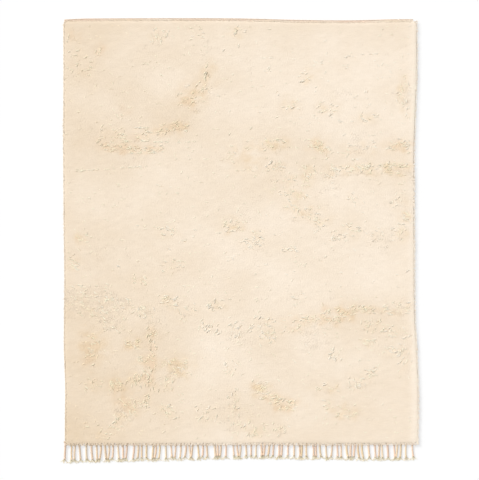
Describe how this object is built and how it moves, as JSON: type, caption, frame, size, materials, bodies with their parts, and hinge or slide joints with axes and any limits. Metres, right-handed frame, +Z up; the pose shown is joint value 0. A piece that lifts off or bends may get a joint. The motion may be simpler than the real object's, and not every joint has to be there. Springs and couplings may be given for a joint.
{
  "type": "high-pile wool rug",
  "caption": "Hand-knotted thick cream wool pile rug that lies flat, with a twined heading at one end and a knotted warp fringe at the other.",
  "frame": {"origin": "on the floor, under the middle of the rug's outline with its fringe", "axes": "+Z up out of the pile; Y along the warp, with the fringe at -Y and the heading at +Y; X across the rug"},
  "size_m": [2.521, 3.1428, 0.0268],
  "materials": {
    "pile_wool": "dense matte undyed wool pile, cream with faint tan patches",
    "heading_yarn": "matte tan wool, weft-faced and twined",
    "warp_yarn": "matte greyish beige plied wool cord"
  },
  "bodies": {
    "root": {"pile_field": "pile_wool", "far_heading": "heading_yarn", "fringe": "warp_yarn"}
  },
  "joints": []
}
